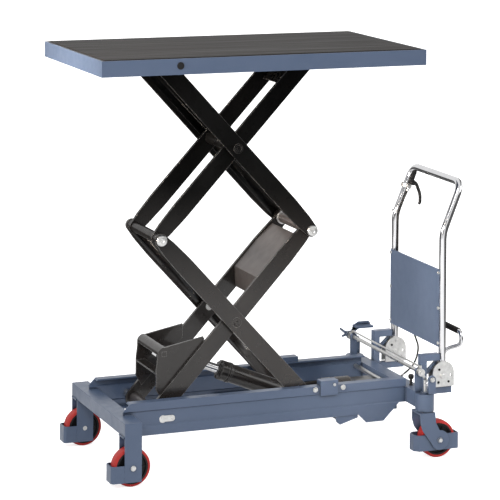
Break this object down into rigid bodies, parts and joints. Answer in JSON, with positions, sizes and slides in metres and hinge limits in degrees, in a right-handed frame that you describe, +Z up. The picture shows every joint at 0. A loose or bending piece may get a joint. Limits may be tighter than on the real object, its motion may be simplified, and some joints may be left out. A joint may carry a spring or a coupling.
{
  "type": "mobile double scissor lift table",
  "caption": "Foot-pumped mobile lift table with a stacked scissor, flat deck with rubber mat, fixed wheels in front, braked swivel casters and a push handle behind.",
  "frame": {"origin": "on the floor, midway between the front edge of the deck and the pedal sleeve at the back, on the centre plane", "axes": "+Z up, +X along the deck towards the push handle, +Y across towards the brake pedal's side"},
  "size_m": [1.1245, 0.522, 1.0971],
  "materials": {
    "grey_blue_paint": "satin",
    "black_paint": "gloss",
    "zinc_plate": "satin",
    "chrome": "polished",
    "red_polyurethane": "satin",
    "black_rubber": "matte",
    "black_plastic": "satin"
  },
  "bodies": {
    "base": {"base_rails": "grey_blue_paint", "front_beam": "grey_blue_paint", "rear_beam": "grey_blue_paint", "wheel_forks": "grey_blue_paint", "foot_guards": "grey_blue_paint", "cross_bars": "grey_blue_paint", "caster_housings": "grey_blue_paint", "handle_brackets": "grey_blue_paint", "rail_covers": "grey_blue_paint", "frame_bolts": "zinc_plate", "name_badge": "zinc_plate", "pivot_shaft": "zinc_plate", "frame_shaft": "zinc_plate", "frame_pins": "zinc_plate", "fixed_axles": "zinc_plate", "pump_body": "black_paint", "valve_knob": "black_plastic", "hydraulic_hose": "black_plastic"},
    "lower_inner": {"lower_inner_arms": "black_paint", "lower_inner_web": "black_paint", "thrust_bracket": "black_paint", "thrust_pin": "black_paint"},
    "lower_outer": {"lower_outer_arms": "black_paint", "lower_pins": "zinc_plate"},
    "upper_outer": {"upper_outer_arms": "black_paint", "upper_pins": "zinc_plate"},
    "upper_inner": {"upper_inner_arms": "black_paint", "upper_inner_web": "black_paint", "upper_stubs": "zinc_plate"},
    "rollers_low": {"lower_rollers": "zinc_plate"},
    "rollers_top": {"upper_rollers": "zinc_plate"},
    "deck": {"deck_tray": "grey_blue_paint", "deck_mat": "black_rubber", "deck_channels": "grey_blue_paint", "deck_pivot_shaft": "zinc_plate", "deck_plugs": "black_plastic"},
    "barrel": {"cylinder_barrel": "black_paint", "cylinder_gland": "black_paint"},
    "rod": {"cylinder_rod": "chrome"},
    "wheel_front_left": {"fixed_wheel_left": "red_polyurethane"},
    "wheel_front_right": {"fixed_wheel_right": "red_polyurethane"},
    "caster_left": {"caster_fork_left": "grey_blue_paint"},
    "caster_right": {"caster_fork_right": "grey_blue_paint"},
    "wheel_rear_left": {"caster_wheel_left": "red_polyurethane"},
    "wheel_rear_right": {"caster_wheel_right": "red_polyurethane"},
    "handle": {"handle_tube": "chrome", "handle_hinge_plates": "zinc_plate", "handle_panel": "grey_blue_paint", "panel_screws": "zinc_plate", "lever_clamp": "black_plastic", "release_cable": "black_plastic"},
    "lever": {"release_lever": "black_plastic"},
    "pedal": {"pedal_lever": "chrome", "pedal_sleeve": "black_rubber"},
    "plunger": {"pump_plunger": "chrome"},
    "brake": {"brake_shaft": "zinc_plate", "brake_pedal": "grey_blue_paint"},
    "brake_rod_left": {"brake_plunger_left": "zinc_plate"},
    "brake_rod_right": {"brake_plunger_right": "zinc_plate"}
  },
  "joints": [
    {"name": "lift", "type": "hinge", "parent": "base", "child": "lower_inner", "pos_m": [-0.356, 0, 0.146], "axis": [0, -1, 0], "range_deg": [-38.9, 16.2]},
    {"name": "lower_scissor", "type": "hinge", "parent": "lower_inner", "child": "lower_outer", "pos_m": [-0.14225, 0, 0.37602], "axis": [0, -1, 0], "range_deg": [-33, 78.5]},
    {"name": "middle_scissor", "type": "hinge", "parent": "lower_inner", "child": "upper_outer", "pos_m": [0.07149, 0, 0.60604], "axis": [0, -1, 0], "range_deg": [-33, 78.5]},
    {"name": "upper_scissor", "type": "hinge", "parent": "upper_outer", "child": "upper_inner", "pos_m": [-0.14225, 0, 0.83605], "axis": [0, -1, 0], "range_deg": [-78.5, 33]},
    {"name": "deck_level", "type": "hinge", "parent": "upper_outer", "child": "deck", "pos_m": [-0.356, 0, 1.06607], "axis": [0, -1, 0], "range_deg": [-39.5, 16.8]},
    {"name": "low_roll", "type": "hinge", "parent": "lower_outer", "child": "rollers_low", "pos_m": [0.07149, 0, 0.146], "axis": [0, 1, 0], "continuous": true},
    {"name": "top_roll", "type": "hinge", "parent": "upper_inner", "child": "rollers_top", "pos_m": [0.07149, 0, 1.06607], "axis": [0, 1, 0], "continuous": true},
    {"name": "barrel_tilt", "type": "hinge", "parent": "base", "child": "barrel", "pos_m": [0.105, 0, 0.125], "axis": [0, -1, 0], "range_deg": [-0.6, 0.4]},
    {"name": "rod_stroke", "type": "slide", "parent": "barrel", "child": "rod", "axis": [-0.9291, 0, 0.3699], "range_m": [-0.1035, 0.044]},
    {"name": "front_left_spin", "type": "hinge", "parent": "base", "child": "wheel_front_left", "pos_m": [-0.464, -0.202, 0.05], "axis": [0, 1, 0], "continuous": true},
    {"name": "front_right_spin", "type": "hinge", "parent": "base", "child": "wheel_front_right", "pos_m": [-0.464, 0.202, 0.05], "axis": [0, 1, 0], "continuous": true},
    {"name": "left_swivel", "type": "hinge", "parent": "base", "child": "caster_left", "pos_m": [0.3585, -0.229, 0.15], "axis": [0, 0, 1], "continuous": true},
    {"name": "right_swivel", "type": "hinge", "parent": "base", "child": "caster_right", "pos_m": [0.3585, 0.229, 0.15], "axis": [0, 0, 1], "continuous": true},
    {"name": "left_spin", "type": "hinge", "parent": "caster_left", "child": "wheel_rear_left", "pos_m": [0.3915, -0.229, 0.05], "axis": [0, 1, 0], "continuous": true},
    {"name": "right_spin", "type": "hinge", "parent": "caster_right", "child": "wheel_rear_right", "pos_m": [0.3915, 0.229, 0.05], "axis": [0, 1, 0], "continuous": true},
    {"name": "handle_fold", "type": "hinge", "parent": "base", "child": "handle", "pos_m": [0.441, 0, 0.196], "axis": [0, 1, 0], "range_deg": [0, 35]},
    {"name": "lever_squeeze", "type": "hinge", "parent": "handle", "child": "lever", "pos_m": [0.48497, 0.12, 0.67451], "axis": [0, 1, 0], "range_deg": [0, 18]},
    {"name": "pedal_press", "type": "hinge", "parent": "base", "child": "pedal", "pos_m": [0.285, 0, 0.104], "axis": [0, 1, 0], "range_deg": [0, 22]},
    {"name": "plunger_stroke", "type": "slide", "parent": "base", "child": "plunger", "axis": [0, 0, 1], "range_m": [0, 0.0096]},
    {"name": "brake_press", "type": "hinge", "parent": "base", "child": "brake", "pos_m": [0.347, 0, 0.228], "axis": [0, 1, 0], "range_deg": [0, 25]},
    {"name": "brake_rod_left_drop", "type": "slide", "parent": "base", "child": "brake_rod_left", "axis": [0, 0, -1], "range_m": [0, 0.0045]},
    {"name": "brake_rod_right_drop", "type": "slide", "parent": "base", "child": "brake_rod_right", "axis": [0, 0, -1], "range_m": [0, 0.0045]}
  ],
  "couplings": [
    {"joint": "lower_scissor", "follows": "lift", "ratio": -2},
    {"joint": "middle_scissor", "follows": "lift", "ratio": -2},
    {"joint": "upper_scissor", "follows": "lift", "ratio": 2},
    {"joint": "deck_level", "follows": "lift", "ratio": 1},
    {"joint": "barrel_tilt", "follows": "lift", "ratio": 0.01},
    {"joint": "rod_stroke", "follows": "lift", "m_per_rad": 0.15},
    {"joint": "plunger_stroke", "follows": "pedal_press", "m_per_rad": 0.0242},
    {"joint": "brake_rod_left_drop", "follows": "brake_press", "m_per_rad": 0.0078},
    {"joint": "brake_rod_right_drop", "follows": "brake_press", "m_per_rad": 0.0078}
  ]
}
